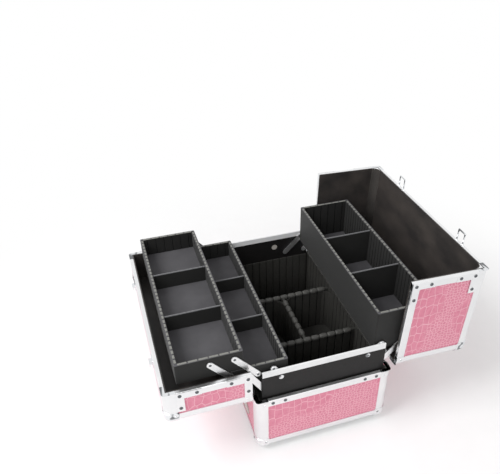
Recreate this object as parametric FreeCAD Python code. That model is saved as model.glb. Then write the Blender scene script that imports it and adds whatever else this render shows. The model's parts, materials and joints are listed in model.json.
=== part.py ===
import FreeCAD, Part
import math
import os

# Makeup train case shown open: a base box, a front flap and a rear lid that meet
# in a seam along the top, three trays on parallel arms, latches, hinges and a bow handle.
# X runs along the case, -Y is the front, Z is up; the feet stand on Z = 0.

V = FreeCAD.Vector
os.makedirs("parts", exist_ok=True)

# Overall sizes
LENGTH = 368.0
DEPTH = 230.0
FOOT_H = 8.0
BASE_H = 112.0
UPPER_H = 132.0
FLAP_D = 62.0
SEAM = 0.5

# Frame extrusions and panels
LIP = 1.0
PANEL_T = 4.0
LEG = 18.0
LEG_IN = 13.0
SLOT = 8.0
EDGE_R = 12.0
RIM_H = 12.0
RIM_WEB = 2.0
CAP = 20.0
CAP_PROUD = 0.8
CORNER_H = 14.0
CORNER_PROUD = 0.7
LINER_T = 2.0

# Hinges between the boxes
HINGE_OUT = 5.0
FLAP_SWING = 90.0
LID_SWING = 92.0
HINGE_IN = 46.0
KNUCKLE_R = 4.0
HINGE_PIN_R = 2.0
PIN_FIT = 0.05
LEAF_T = 1.5
LEAF_W = 32.0
LEAF_H = 31.0
LEAF_ROOM = 5.0
RIDGE_UP = 1.5
RIDGE_W = 2.5
RIDGE_T = 1.0
WEB_T = 1.2
SKIN_UP = 2.2
KNUCKLE_SPLIT = 6.0
KNUCKLE_GAP = 0.3
PIN_HEAD_R = 3.0
PIN_HEAD_T = 1.2

# Trays and their parallel arms, all given in the open position
TRAY_W = 100.0
END_ROOM = 16.0
TRAY_WALL = 2.5
LINING_T = 2.0
FLUTE = 15.0
FLUTE_DEEP = 1.1
LOW_H = 34.0
HIGH_H = 36.0
DEEP_H = 74.0
STACK_GAP = 1.5
LOW_OUT = 12.96
LOW_Z = 152.0
DEEP_OUT = 39.3
DEEP_Z = 159.0
ARM_W = 10.0
ARM_T = 1.5
ARM_GAP = 0.4
RIVET_R = 2.0
HEAD_R = 4.0
HEAD_T = 0.6
OPEN_FIT = 0.3
LOW_ARM_R = 51.6
LOW_LEAN = 31.5
HIGH_ARM_R = 53.5
HIGH_LEAN = 40.0
DEEP_ARM_R = 57.0
DEEP_LEAN = 45.0
ARM_PITCH = 40.0
HIGH_PITCH = 36.0
PIVOT_Z = 132.0
PIVOT_EDGE = 7.0
PLATE_T = 2.0
PLATE_SIDE = 12.0
PLATE_TOP = 174.0
PLATE_LOW = 62.0
PLATE_R = 8.0
STOP_IN = 31.0
STOP_Z = 158.0
TRIM_IN = 9.0
TRIM_T = 1.0
TRIM_DROP = 3.0

# Handle and latches on the rear lid's top
HANDLE_X = 58.0
HANDLE_BACK = 24.5
HANDLE_UP = 8.0
BOW_W = 10.0
BOW_T = 7.0
BOW_H = 70.0
BOW_R = 22.0
BRACKET_W = 22.0
BRACKET_T = 2.0
BRACKET_R = 3.0
EAR_GAP = 16.0
EAR_T = 2.0
EAR_W = 16.0
EAR_R = 6.0
EAR_ROOT = 1.0
PEG_R = 2.5
EYE_R = 5.5
GRIP_L = 78.0
GRIP_D = 13.0
GRIP_T = 12.0
GRIP_R = 5.0
LATCH_X = 98.0
LATCH_BACK = 9.0
LATCH_UP = 3.6
LATCH_PIN_R = 1.5
SOLE_W = 36.0
SOLE_NEAR = 2.0
SOLE_FAR = 33.0
SOLE_T = 1.1
SOLE_R = 4.0
KEY_W = 28.0
KEY_IN = 1.0
LUG_X = 14.5
LUG_T = 1.8
LUG_W = 8.0
LUG_TOP_W = 6.0
LUG_H = 6.4
STRIKE_W = 18.0
STRIKE_NEAR = 3.0
STRIKE_FAR = 20.0
STRIKE_T = 1.2
STRIKE_R = 3.0
STRIKE_KEY_W = 12.0
HOOK_W = 13.0
HOOK_H = 5.8
HOOK_T = 1.1
HOOK_LIP = 2.0
HOOK_FOOT = 1.6
HOOK_WALL = 1.8
LEVER_W = 23.0
LEVER_L = 38.0
LEVER_T = 1.4
LEVER_UP = 5.2
LEVER_NEAR = 4.0
LEVER_SIDE = 8.0
LEVER_LOW = 1.7
LEVER_LAP = 0.4
LEVER_EYE_R = 2.0
LEVER_PIN_X = 16.0
WIRE_R = 1.25
BAIL_THROW = 8.0
BAIL_UP = 3.2
BAIL_REACH = 14.5
BAIL_X = 8.4
BAIL_END_X = 11.2
BAIL_LAP = 0.1

# Planes that follow from the sizes above
RIM = FOOT_H + BASE_H
TOP = RIM + UPPER_H
PX = LENGTH / 2 - LIP
PY = DEPTH / 2 - LIP
PZ0 = FOOT_H + LIP
PZ1 = TOP - LIP
SEAM_Y = -DEPTH / 2 + FLAP_D
AXIS_Y = DEPTH / 2 + HINGE_OUT
WALL_IN = LIP + PANEL_T + LIP
HINGE_X = LENGTH / 2 - HINGE_IN
TRAY_END = LENGTH / 2 - END_ROOM
PLATE_W = DEPTH - 2 * PLATE_SIDE
PIVOT_IN = PLATE_W / 2 - PIVOT_EDGE
LOW_Y = -PIVOT_IN - LOW_OUT
DEEP_Y = PIVOT_IN + DEEP_OUT
ARM_LOW_X = TRAY_END + 2 * ARM_GAP + ARM_T + 0.2
ARM_HIGH_X = TRAY_END + ARM_GAP
PLATE_X = ARM_LOW_X + ARM_T + HEAD_T + 0.3
BASE_LINER_T = LENGTH / 2 - WALL_IN - PLATE_X - PLATE_T
HALF = SEAM / 2


def box(x0, x1, y0, y1, z0, z1):
    size = (abs(x1 - x0), abs(y1 - y0), abs(z1 - z0))
    return Part.makeBox(size[0], size[1], size[2], V(min(x0, x1), min(y0, y1), min(z0, z1)))


def cyl(r, p0, p1):
    d = V(*p1) - V(*p0)
    return Part.makeCylinder(r, d.Length, V(*p0), d)


def fuse(shapes):
    first = shapes[0]
    if len(shapes) > 1:
        first = first.multiFuse(shapes[1:]).removeSplitter()
    return first


def outline(steps, origin, u, v):
    """Closed face from (u, v) points; a step ("arc", mid, end) draws an arc."""
    o = V(*origin)

    def at(p):
        return o + V(*u) * p[0] + V(*v) * p[1]

    edges = []
    here = steps[0]
    for step in list(steps[1:]) + [steps[0]]:
        if step[0] == "arc":
            edges.append(Part.Arc(at(here), at(step[1]), at(step[2])).toShape())
            here = step[2]
        elif (at(here) - at(step)).Length > 1e-6:
            edges.append(Part.LineSegment(at(here), at(step)).toShape())
            here = step
    return Part.Face(Part.Wire(edges))


def edge_rail(p0, p1, n1, n2, proud=0.0):
    """Rounded corner extrusion holding two panels whose outer planes meet on p0-p1."""
    o = LIP + proud
    m = o - EDGE_R * (1 - math.sqrt(0.5))
    b = -PANEL_T - LIP
    steps = [(o, -LEG), (o, o - EDGE_R), ("arc", (m, m), (o - EDGE_R, o)), (-LEG, o),
             (-LEG, 0), (-SLOT, 0), (-SLOT, -PANEL_T), (-LEG_IN, -PANEL_T), (-LEG_IN, b),
             (b, b), (b, -LEG_IN), (-PANEL_T, -LEG_IN), (-PANEL_T, -SLOT), (0, -SLOT), (0, -LEG)]
    return outline(steps, p0, n1, n2).extrude(V(*p1) - V(*p0))


def rim_rail(p0, p1, n, m):
    """Channel that caps a panel's edge: n points out of the panel, m out of its edge."""
    c = 0.8
    b = -PANEL_T - LIP
    steps = [(LIP, -RIM_H), (LIP, -c), (LIP - c, 0), (b, 0), (b, -RIM_H + 2), (-PANEL_T, -RIM_H + 2),
             (-PANEL_T, -RIM_WEB), (0, -RIM_WEB), (0, -RIM_H)]
    return outline(steps, p0, n, m).extrude(V(*p1) - V(*p0))


def corner_cap(x, y, z):
    """Ball corner over the meeting of three edge rails at the panel-plane corner x, y, z."""
    sx, sy, sz = [1 if c > 0 else -1 for c in (x, y, z - RIM)]
    o = LIP + CAP_PROUD
    solid = box(x + sx * o, x - sx * CAP, y + sy * o, y - sy * CAP, z + sz * o, z - sz * CAP)
    corner = V(x + sx * o, y + sy * o, z + sz * o)
    edges = [e for e in solid.Edges if any((p.Point - corner).Length < 0.01 for p in e.Vertexes)]
    solid = solid.makeFillet(EDGE_R, edges)
    k = PANEL_T + LIP
    t = PANEL_T
    far = (x - sx * 60, y - sy * 60, z - sz * 60)
    slot = (x - sx * SLOT, y - sy * SLOT, z - sz * SLOT)
    solid = solid.cut(box(x - sx * k, far[0], y - sy * k, far[1], z - sz * k, far[2]))
    solid = solid.cut(box(x, x - sx * t, slot[1], far[1], slot[2], far[2]))
    solid = solid.cut(box(slot[0], far[0], y, y - sy * t, slot[2], far[2]))
    return solid.cut(box(slot[0], far[0], slot[1], far[1], z, z - sz * t))


def rounded_slab(x0, x1, y0, y1, z0, z1, r, axis):
    slab = box(x0, x1, y0, y1, z0, z1)
    along = [e for e in slab.Edges if abs(abs(e.tangentAt(e.FirstParameter).dot(V(*axis))) - 1) < 1e-6]
    return slab.makeFillet(r, along)


def both_ends(shape):
    return [shape, shape.mirror(V(0, 0, 0), V(1, 0, 0))]


def opened(shapes, which):
    """Swing pieces built in the closed position into the open one."""
    out = []
    for s in shapes:
        s = s.copy()
        if which == "flap":
            s.rotate(V(0, -AXIS_Y, RIM), V(1, 0, 0), FLAP_SWING)
        else:
            s.rotate(V(0, AXIS_Y, RIM), V(1, 0, 0), -LID_SWING)
        out.append(s)
    return out


def save(name, shapes):
    Part.makeCompound(shapes).exportStep("parts/%s.step" % name)


# Base box: panels in slots, edge rails, ball corners, rim
px = PX - SLOT
py = PY - SLOT
pz = PZ0 + SLOT
edge = RIM - HALF - RIM_WEB
base_z = RIM - HALF
front = box(-px, px, -PY, -PY + PANEL_T, pz, edge)
rear = box(-px, px, PY - PANEL_T, PY, pz, edge)
save("base_panels_long", [front, rear])
save("base_panels_end", both_ends(box(PX - PANEL_T, PX, -py, py, pz, edge)))
save("base_floor", [box(-px, px, -py, py, PZ0, PZ0 + PANEL_T)])

posts = []
rails = []
rims = []
caps = []
corners = []
for sx in (-1, 1):
    for sy in (-1, 1):
        foot = (sx * PX, sy * PY, PZ0 + CAP)
        posts.append(edge_rail(foot, (sx * PX, sy * PY, RIM - CORNER_H), (sx, 0, 0), (0, sy, 0)))
        caps.append(corner_cap(sx * PX, sy * PY, PZ0))
        low = (sx * PX, sy * PY, RIM - CORNER_H)
        corners.append(edge_rail(low, (sx * PX, sy * PY, base_z), (sx, 0, 0), (0, sy, 0), CORNER_PROUD))
for s in (-1, 1):
    rails.append(edge_rail((-PX + CAP, s * PY, PZ0), (PX - CAP, s * PY, PZ0), (0, s, 0), (0, 0, -1)))
    rails.append(edge_rail((s * PX, -PY + CAP, PZ0), (s * PX, PY - CAP, PZ0), (s, 0, 0), (0, 0, -1)))
    rims.append(rim_rail((-PX + LEG, s * PY, base_z), (PX - LEG, s * PY, base_z), (0, s, 0), (0, 0, 1)))
    rims.append(rim_rail((s * PX, -PY + LEG, base_z), (s * PX, PY - LEG, base_z), (s, 0, 0), (0, 0, 1)))
save("base_corner_posts", posts)
save("base_bottom_rails", rails)
save("base_rim_rails", rims)
save("base_bottom_corners", caps)
save("base_rim_corners", corners)

FOOT_IN_X = 34.0
FOOT_IN_Y = 31.0
FOOT_LOW_R = 9.0
FOOT_TOP_R = 11.5
foot_x = LENGTH / 2 - FOOT_IN_X
foot_y = DEPTH / 2 - FOOT_IN_Y
feet = []
for sx in (-1, 1):
    for sy in (-1, 1):
        foot = Part.makeCone(FOOT_LOW_R, FOOT_TOP_R, PZ0, V(sx * foot_x, sy * foot_y, 0))
        low = [e for e in foot.Edges if e.BoundBox.ZMax < 0.1]
        feet.append(foot.makeFillet(1.0, low))
save("base_feet", feet)


def fluted_ring(x, y, wall, z0, z1, deep):
    """Wall lining: a plain rectangle outside and a row of grooves inside, mirrored both ways."""
    xi = x - wall
    yi = y - wall
    pts = []

    def wall_run(length, n):
        run = []
        for i in range(n):
            c = -length + (i + 0.5) * 2 * length / n
            run += [(c - 1.1, 0), (c - 0.7, deep), (c + 0.7, deep), (c + 1.1, 0)]
        return run

    nx = int(round(2 * xi / FLUTE))
    ny = int(round(2 * yi / FLUTE))
    pts += [(-xi, -yi)] + [(t, -yi - d) for t, d in wall_run(xi, nx)]
    pts += [(xi, -yi)] + [(xi + d, t) for t, d in wall_run(yi, ny)]
    pts += [(xi, yi)] + [(-t, yi + d) for t, d in wall_run(xi, nx)]
    pts += [(-xi, yi)] + [(-xi - d, -t) for t, d in wall_run(yi, ny)]
    inner = [V(p[0], p[1], z0) for p in pts]
    hole = Part.Face(Part.makePolygon(inner + [inner[0]]))
    outer = [V(-x, -y, z0), V(x, -y, z0), V(x, y, z0), V(-x, y, z0)]
    ring = Part.Face(Part.makePolygon(outer + [outer[0]])).cut(hole)
    return ring.extrude(V(0, 0, z1 - z0))


# Base lining, dividers standing in it, and the support plates for the arms
bx = LENGTH / 2 - WALL_IN
by = DEPTH / 2 - WALL_IN
floor_z = PZ0 + PANEL_T + LIP
PAD_T = 3.0
DIVIDER_T = 6.0
DIVIDER_X = 62.0
DIVIDER_Y = 12.0
LINING_TOP = RIM - 3.0
DIVIDER_TOP = RIM - 10.0
ring = fluted_ring(bx, by, BASE_LINER_T, floor_z, LINING_TOP, FLUTE_DEEP)
xi = bx - BASE_LINER_T
yi = by - BASE_LINER_T
pad_top = floor_z + PAD_T
pad = box(-xi, xi, -yi, yi, floor_z, pad_top)
save("base_lining", [ring, pad])


def divider(length, x0, y0, along):
    """Foam divider with grooves on both faces and a half-round top edge."""
    n = int(length // FLUTE)
    h = DIVIDER_T / 2
    side = []
    for i in range(n):
        c = -length / 2 + (i + 0.5) * length / n
        side += [(c - 1.1, -h), (c - 0.7, -h + FLUTE_DEEP), (c + 0.7, -h + FLUTE_DEEP), (c + 1.1, -h)]
    back = [(-p[0], -p[1]) for p in side]
    pts = [(-length / 2, -h)] + side + [(length / 2, -h), (length / 2, h)] + back + [(-length / 2, h)]
    body = [V(p[0], p[1], pad_top) for p in pts]
    slab = Part.Face(Part.makePolygon(body + [body[0]])).extrude(V(0, 0, DIVIDER_TOP - h - pad_top))
    top = cyl(h, (-length / 2, 0, DIVIDER_TOP - h), (length / 2, 0, DIVIDER_TOP - h))
    piece = slab.fuse(top)
    if along == "y":
        piece.rotate(V(0, 0, 0), V(0, 0, 1), 90)
    piece.translate(V(x0, y0, 0))
    return piece


save("base_dividers_cross", [divider(2 * yi, -DIVIDER_X, 0, "y"), divider(2 * yi, DIVIDER_X, 0, "y")])
save("base_divider_long", [divider(2 * DIVIDER_X - DIVIDER_T, 0, DIVIDER_Y, "x")])

PIVOTS = [-PIVOT_IN, -PIVOT_IN + ARM_PITCH, PIVOT_IN - ARM_PITCH, PIVOT_IN]
half_w = PLATE_W / 2
plate_out = PLATE_X + PLATE_T
plate = rounded_slab(PLATE_X, plate_out, -half_w, half_w, PLATE_LOW, PLATE_TOP, PLATE_R, (1, 0, 0))
for y in PIVOTS:
    plate = plate.cut(cyl(RIVET_R + PIN_FIT, (PLATE_X - 1, y, PIVOT_Z), (PLATE_X + PLATE_T + 1, y, PIVOT_Z)))
stop_y = PLATE_W / 2 - STOP_IN
rivets = []
for y in (-stop_y, stop_y):
    hole = cyl(RIVET_R, (PLATE_X, y, STOP_Z), (PLATE_X + PLATE_T, y, STOP_Z))
    plate = plate.cut(hole)
    rivets.append(hole.fuse(cyl(HEAD_R, (plate_out, y, STOP_Z), (plate_out + HEAD_T, y, STOP_Z))))
save("support_plates", both_ends(plate))
save("support_plate_rivets", [m for r in rivets for m in both_ends(r)])
trim_y = PLATE_W / 2 - TRIM_IN
trim = box(PLATE_X, PLATE_X + PLATE_T + HEAD_T, -trim_y, trim_y, PLATE_TOP, PLATE_TOP + TRIM_T)
trim_lip = box(plate_out, plate_out + HEAD_T, -trim_y, trim_y, PLATE_TOP - TRIM_DROP, PLATE_TOP)
trim = trim.fuse(trim_lip)
save("support_plate_trims", both_ends(trim))


# Hinges: leaf with a half-round tail, knuckles round a pin on the rim line
def leaf(up, spans, x):
    """Front hinge leaf on the base (up = -1) or on the flap (up = 1), with knuckles over spans."""
    y0 = -DEPTH / 2
    h0 = LEAF_ROOM
    r = LEAF_W / 2
    tail = LEAF_H - r
    steps = [(-r, h0), (r, h0), (r, tail), ("arc", (0, LEAF_H), (-r, tail))]
    plate_ = outline(steps, (x, y0, RIM), (1, 0, 0), (0, 0, up)).extrude(V(0, -LEAF_T, 0))
    ridge_z0 = RIM + up * (h0 + RIDGE_UP)
    ridge = box(x - r, x + r, y0 - LEAF_T - RIDGE_T, y0 - LEAF_T, ridge_z0, ridge_z0 + up * RIDGE_W)
    pieces = [plate_, ridge]
    hole = cyl(HINGE_PIN_R + PIN_FIT, (x - r - 1, -AXIS_Y, RIM), (x + r + 1, -AXIS_Y, RIM))
    for a, b in spans:
        barrel = cyl(KNUCKLE_R, (x + a, -AXIS_Y, RIM), (x + b, -AXIS_Y, RIM))
        web = box(x + a, x + b, y0 - LEAF_T, y0 - LEAF_T - WEB_T, RIM, RIM + up * h0)
        skin = box(x + a, x + b, y0, y0 - LEAF_T - WEB_T, RIM + up * SKIN_UP, RIM + up * h0)
        pieces += [barrel, web, skin]
    return fuse(pieces).cut(hole)


leaf_half = LEAF_W / 2
mid_half = KNUCKLE_SPLIT - KNUCKLE_GAP
MID = (-mid_half, mid_half)
SIDES = [(-leaf_half, -KNUCKLE_SPLIT), (KNUCKLE_SPLIT, leaf_half)]
pin_end = leaf_half + PIN_HEAD_T
base_leaves = [leaf(-1, SIDES, s * HINGE_X) for s in (-1, 1)]
flap_leaves = [leaf(1, [MID], s * HINGE_X) for s in (-1, 1)]
pins = []
for s in (-1, 1):
    x = s * HINGE_X
    pin = cyl(HINGE_PIN_R, (x - leaf_half, -AXIS_Y, RIM), (x + leaf_half, -AXIS_Y, RIM))
    ends = []
    for e in (-1, 1):
        ends.append(cyl(PIN_HEAD_R, (x + e * leaf_half, -AXIS_Y, RIM), (x + e * pin_end, -AXIS_Y, RIM)))
    pins.append(fuse([pin] + ends))


def to_rear(shapes):
    return [s.mirror(V(0, 0, 0), V(0, 1, 0)) for s in shapes]


save("hinge_leaves_base", base_leaves + to_rear(base_leaves))
save("hinge_pins", pins + to_rear(pins))
save("flap_hinge_leaves", opened(flap_leaves, "flap"))
save("lid_hinge_leaves", opened(to_rear(flap_leaves), "lid"))

MITRE_W = 12.0
MITRE_L = 38.0
MITRE_T = 1.0


def mitre_plate(y, z, dy, dz):
    """L plate on the end face over the meeting of two rim channels at y, z."""
    long_z = MITRE_L
    steps = [(0, 0), (MITRE_L, 0), (MITRE_L, MITRE_W), (MITRE_W, MITRE_W), (MITRE_W, long_z), (0, long_z)]
    return outline(steps, (PX + LIP, y, z), (0, dy, 0), (0, 0, dz)).extrude(V(MITRE_T, 0, 0))


def upper_box(name, side, far_y, seam_y, swing):
    """Flap (side -1) or lid (side 1): three panels, end panels, rails, rims, caps, liner."""
    ylo = far_y - side * SLOT
    yhi = seam_y + side * RIM_WEB
    zlo = RIM + HALF + RIM_WEB
    zhi = PZ1 - SLOT
    long_panel = box(-px, px, far_y, far_y - side * PANEL_T, zlo, zhi)
    top_panel = box(-px, px, ylo, yhi, PZ1 - PANEL_T, PZ1)
    end_panels = both_ends(box(PX - PANEL_T, PX, ylo, yhi, zlo, zhi))
    save(name + "_panel_long", opened([long_panel], swing))
    save(name + "_panel_top", opened([top_panel], swing))
    save(name + "_panels_end", opened(end_panels, swing))

    n = (0, side, 0)
    m = (0, -side, 0)
    z0 = RIM + HALF
    lengthways = edge_rail((-PX + CAP, far_y, PZ1), (PX - CAP, far_y, PZ1), n, (0, 0, 1))
    post = edge_rail((PX, far_y, RIM + CORNER_H), (PX, far_y, PZ1 - CAP), (1, 0, 0), n)
    across = edge_rail((PX, far_y - side * CAP, PZ1), (PX, seam_y, PZ1), (1, 0, 0), (0, 0, 1))
    save(name + "_edge_rails", opened([lengthways] + both_ends(post) + both_ends(across), swing))

    rim_long = rim_rail((-PX + LEG, far_y, z0), (PX - LEG, far_y, z0), n, (0, 0, -1))
    rim_end = rim_rail((PX, far_y - side * LEG, z0), (PX, seam_y + side * RIM_H, z0), (1, 0, 0), (0, 0, -1))
    seam_end = rim_rail((PX, seam_y, z0), (PX, seam_y, PZ1 - LEG), (1, 0, 0), m)
    seam_top = rim_rail((-PX + LEG, seam_y, PZ1), (PX - LEG, seam_y, PZ1), (0, 0, 1), m)
    pieces = [rim_long, seam_top] + both_ends(rim_end) + both_ends(seam_end)
    save(name + "_rim_rails", opened(pieces, swing))

    save(name + "_corner_caps", opened(both_ends(corner_cap(PX, far_y, PZ1)), swing))
    rim_corner = edge_rail((PX, far_y, z0), (PX, far_y, RIM + CORNER_H), (1, 0, 0), n, CORNER_PROUD)
    plates = both_ends(mitre_plate(seam_y, z0, side, 1)) + both_ends(mitre_plate(seam_y, PZ1 - LEG, side, -1))
    save(name + "_corner_plates", opened(both_ends(rim_corner) + plates, swing))

    lx = LENGTH / 2 - WALL_IN
    yo = far_y + side * LIP - side * WALL_IN
    zo = TOP - WALL_IN
    shell = box(-lx, lx, yo, seam_y, RIM + HALF, zo)
    t = LINER_T
    shell = shell.cut(box(-lx + t, lx - t, yo - side * t, seam_y - side * 40, RIM - 10, zo - t))
    save(name + "_liner", opened([shell], swing))


upper_box("flap", -1, -PY, SEAM_Y - HALF, "flap")
upper_box("lid", 1, PY, SEAM_Y + HALF, "lid")


# Trays: shell, fluted wall lining, two thin dividers, two pairs of parallel arms
def tray(name, yc, z0, h, holes):
    """Tray centred on yc with its underside at z0; holes are (y, z, radius) in both end walls."""
    y0 = yc - TRAY_W / 2
    y1 = yc + TRAY_W / 2
    w = TRAY_WALL
    shell = rounded_slab(-TRAY_END, TRAY_END, y0, y1, z0, z0 + h, 2.0, (0, 0, 1))
    shell = shell.cut(box(-TRAY_END + w, TRAY_END - w, y0 + w, y1 - w, z0 + w, z0 + h + 1))
    for y, z, r in holes:
        shell = shell.cut(cyl(r, (-TRAY_END - 1, y, z), (-TRAY_END + w + 1, y, z)))
        shell = shell.cut(cyl(r, (TRAY_END + 1, y, z), (TRAY_END - w - 1, y, z)))
    save(name, [shell])
    ring_ = fluted_ring(TRAY_END - w, TRAY_W / 2 - w, LINING_T, 0, h - w - 0.6, FLUTE_DEEP)
    ring_.translate(V(0, yc, z0 + w))
    save(name + "_lining", [ring_])
    thin = 1.6
    third = (TRAY_END - w) / 3
    yi_ = TRAY_W / 2 - w - LINING_T
    walls = []
    for s in (-1, 1):
        wall = box(s * third - thin / 2, s * third + thin / 2, yc - yi_, yc + yi_, z0 + w, z0 + h - 4.0)
        walls.append(wall)
    save(name + "_dividers", walls)


def arm(x0, low, high, low_to, high_to):
    """Flat bar with round ends; a rivet at each pivot runs to the given X planes."""
    d = V(0, high[0] - low[0], high[1] - low[1])
    n = V(0, -d.z, d.y)
    r = ARM_W / 2
    a = V(x0, low[0], low[1])
    u = d * (1 / d.Length)
    v = n * (1 / d.Length)
    ln = d.Length
    steps = [(0, -r), (ln, -r), ("arc", (ln + r, 0), (ln, r)), (0, r), ("arc", (-r, 0), (0, -r))]
    bar = outline(steps, a, u, v).extrude(V(ARM_T, 0, 0))
    pieces = [bar]
    for (y, z), (b0, b1, head) in ((low, low_to), (high, high_to)):
        pieces.append(cyl(RIVET_R, (b0, y, z), (b1, y, z)))
        h0, h1 = (b1, b1 + HEAD_T) if head > 0 else (b0 - HEAD_T, b0)
        pieces.append(cyl(HEAD_R, (h0, y, z), (h1, y, z)))
    return fuse(pieces)


fit = RIVET_R + PIN_FIT
loose = RIVET_R + OPEN_FIT
inner_wall = TRAY_END - TRAY_WALL
into_tray_low = (inner_wall + 0.2, ARM_LOW_X + ARM_T, 1)
into_tray_high = (inner_wall + 0.2, ARM_HIGH_X + ARM_T, 1)
into_plate = (ARM_LOW_X, PLATE_X + PLATE_T, 1)

low_dy = LOW_ARM_R * math.sin(math.radians(LOW_LEAN))
low_dz = LOW_ARM_R * math.cos(math.radians(LOW_LEAN))
high_dy = HIGH_ARM_R * math.sin(math.radians(HIGH_LEAN))
high_dz = HIGH_ARM_R * math.cos(math.radians(HIGH_LEAN))
deep_dy = DEEP_ARM_R * math.sin(math.radians(DEEP_LEAN))
deep_dz = DEEP_ARM_R * math.cos(math.radians(DEEP_LEAN))

low_pins = [(y - low_dy, PIVOT_Z + low_dz) for y in PIVOTS[:2]]
deep_pins = [(y + deep_dy, PIVOT_Z + deep_dz) for y in PIVOTS[2:]]
HIGH_Y = LOW_Y - 2 * high_dy
HIGH_Z = LOW_Z + LOW_H + STACK_GAP
high_pins = [(HIGH_Y + TRAY_W / 2 - 13.5 - HIGH_PITCH * k, HIGH_Z + 24.0) for k in (1, 0)]
high_feet = [(y + high_dy, z - high_dz) for y, z in high_pins]

for name, k in (("tray_low_arms_front", 0), ("tray_low_arms_rear", 1)):
    save(name, both_ends(arm(ARM_LOW_X, (PIVOTS[k], PIVOT_Z), low_pins[k], into_plate, into_tray_low)))
for name, k in (("tray_high_arms_front", 0), ("tray_high_arms_rear", 1)):
    save(name, both_ends(arm(ARM_HIGH_X, high_feet[k], high_pins[k], into_tray_high, into_tray_high)))
for name, k in (("tray_deep_arms_front", 0), ("tray_deep_arms_rear", 1)):
    save(name, both_ends(arm(ARM_LOW_X, (PIVOTS[k + 2], PIVOT_Z), deep_pins[k], into_plate, into_tray_low)))

low_holes = [low_pins[0] + (fit,), low_pins[1] + (loose,)]
low_holes += [high_feet[0] + (fit,), high_feet[1] + (fit,)]
tray("tray_low", LOW_Y, LOW_Z, LOW_H, low_holes)
tray("tray_high", HIGH_Y, HIGH_Z, HIGH_H, [high_pins[0] + (fit,), high_pins[1] + (loose,)])
tray("tray_deep", DEEP_Y, DEEP_Z, DEEP_H, [deep_pins[0] + (fit,), deep_pins[1] + (loose,)])


# Handle: two U brackets on the lid's top, a bow turning on pins, a grip under its bar
hy = SEAM_Y + HANDLE_BACK
hz = TOP + HANDLE_UP
brackets = []
for s in (-1, 1):
    x = s * HANDLE_X
    w = BRACKET_W / 2
    foot_plate = rounded_slab(x - w, x + w, hy - w, hy + w, TOP - LIP, TOP + BRACKET_T, BRACKET_R, (0, 0, 1))
    ears = []
    for e in (-1, 1):
        k = EAR_W / 2
        steps = [(-k, 0), (k, 0), (EAR_R, HANDLE_UP), ("arc", (0, HANDLE_UP + EAR_R), (-EAR_R, HANDLE_UP))]
        corner = (x + e * EAR_GAP / 2 - EAR_T / 2, hy, TOP + EAR_ROOT)
        ear = outline(steps, corner, (0, 1, 0), (0, 0, 1)).extrude(V(EAR_T, 0, 0))
        ears.append(ear)
    hole = cyl(PEG_R + PIN_FIT, (x - w, hy, hz), (x + w, hy, hz))
    brackets.append(fuse([foot_plate] + ears).cut(hole))
save("handle_brackets", opened(brackets, "lid"))

out_x = HANDLE_X + BOW_W / 2
in_x = HANDLE_X - BOW_W / 2
RO = BOW_R
RI = RO - BOW_W
peg_half = (EAR_GAP + EAR_T) / 2
c45 = math.sqrt(0.5)
steps = [(out_x, 0), (out_x, BOW_H - RO),
         ("arc", (out_x - RO + RO * c45, BOW_H - RO + RO * c45), (out_x - RO, BOW_H)),
         (-out_x + RO, BOW_H), ("arc", (-out_x + RO - RO * c45, BOW_H - RO + RO * c45), (-out_x, BOW_H - RO)),
         (-out_x, 0), (-in_x, 0), (-in_x, BOW_H - RO),
         ("arc", (-in_x + RI - RI * c45, BOW_H - RO + RI * c45), (-in_x + RI, BOW_H - BOW_W)),
         (in_x - RI, BOW_H - BOW_W),
         ("arc", (in_x - RI + RI * c45, BOW_H - RO + RI * c45), (in_x, BOW_H - RO)),
         (in_x, 0)]
bow = outline(steps, (0, hy, hz - BOW_T / 2), (1, 0, 0), (0, 1, 0)).extrude(V(0, 0, BOW_T))
eyes = [cyl(EYE_R, (s * in_x, hy, hz), (s * out_x, hy, hz)) for s in (-1, 1)]
pegs = []
for s in (-1, 1):
    pegs.append(cyl(PEG_R, (s * (HANDLE_X - peg_half), hy, hz), (s * (HANDLE_X + peg_half), hy, hz)))
save("handle_bow", opened([fuse([bow] + eyes + pegs)], "lid"))
gy = hy + BOW_H - BOW_W
grip = box(-GRIP_L / 2, GRIP_L / 2, gy - GRIP_D, gy, hz - GRIP_T / 2, hz + GRIP_T / 2)
long_edges = [e for e in grip.Edges if e.Length > GRIP_L - 1 and e.BoundBox.YMax < gy - 1]
save("handle_grip", opened([grip.makeFillet(GRIP_R, long_edges)], "lid"))


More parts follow.
